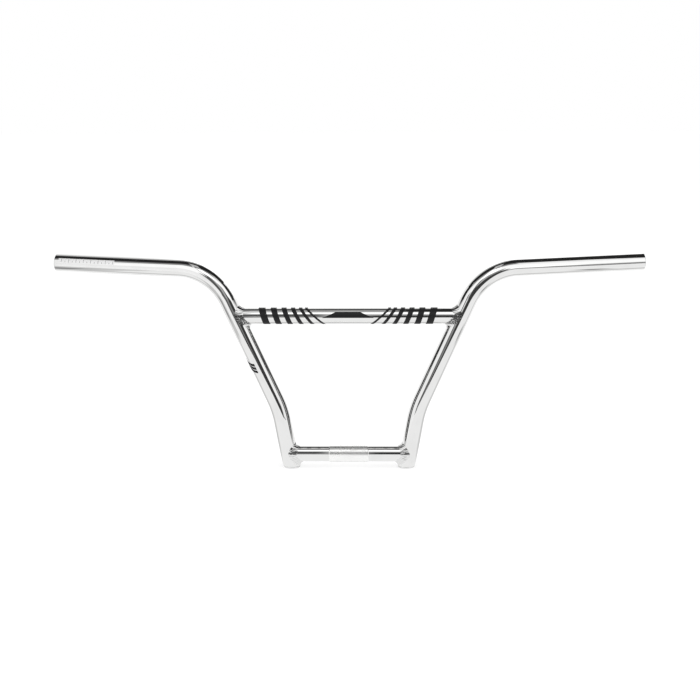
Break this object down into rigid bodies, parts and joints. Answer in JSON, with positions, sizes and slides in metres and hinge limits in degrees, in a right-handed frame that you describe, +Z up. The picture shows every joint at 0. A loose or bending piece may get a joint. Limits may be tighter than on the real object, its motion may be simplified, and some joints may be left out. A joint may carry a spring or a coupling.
{
  "type": "bmx handlebar",
  "caption": "Welded chrome riser handlebar for a BMX bicycle, with a crossbar, swept-back ends for the grips and a knurled clamp tube for the stem.",
  "frame": {"origin": "centre of the knurled clamp band, on the clamp tube's axis", "axes": "+X along the clamp tube to the bar's right as the front is seen, +Z up towards the crossbar, the front faces -Y and the grips sweep back to +Y"},
  "size_m": [0.7618, 0.0624, 0.2736],
  "materials": {
    "chrome": "mirror-polished chrome plating on steel tube",
    "knurled_chrome": "chrome plating, polished, with a fine diamond knurl on the clamp band",
    "weld_bead": "chrome plating over rippled weld beads",
    "black_vinyl": "satin black vinyl decal"
  },
  "bodies": {
    "root": {"left_side_tube": "chrome", "right_side_tube": "chrome", "crossbar": "chrome", "clamp_tube": "knurled_chrome", "left_leg_cap": "chrome", "right_leg_cap": "chrome", "left_crossbar_weld": "weld_bead", "right_crossbar_weld": "weld_bead", "left_clamp_weld": "weld_bead", "right_clamp_weld": "weld_bead", "crossbar_decal": "black_vinyl", "leg_decal": "black_vinyl"}
  },
  "joints": []
}
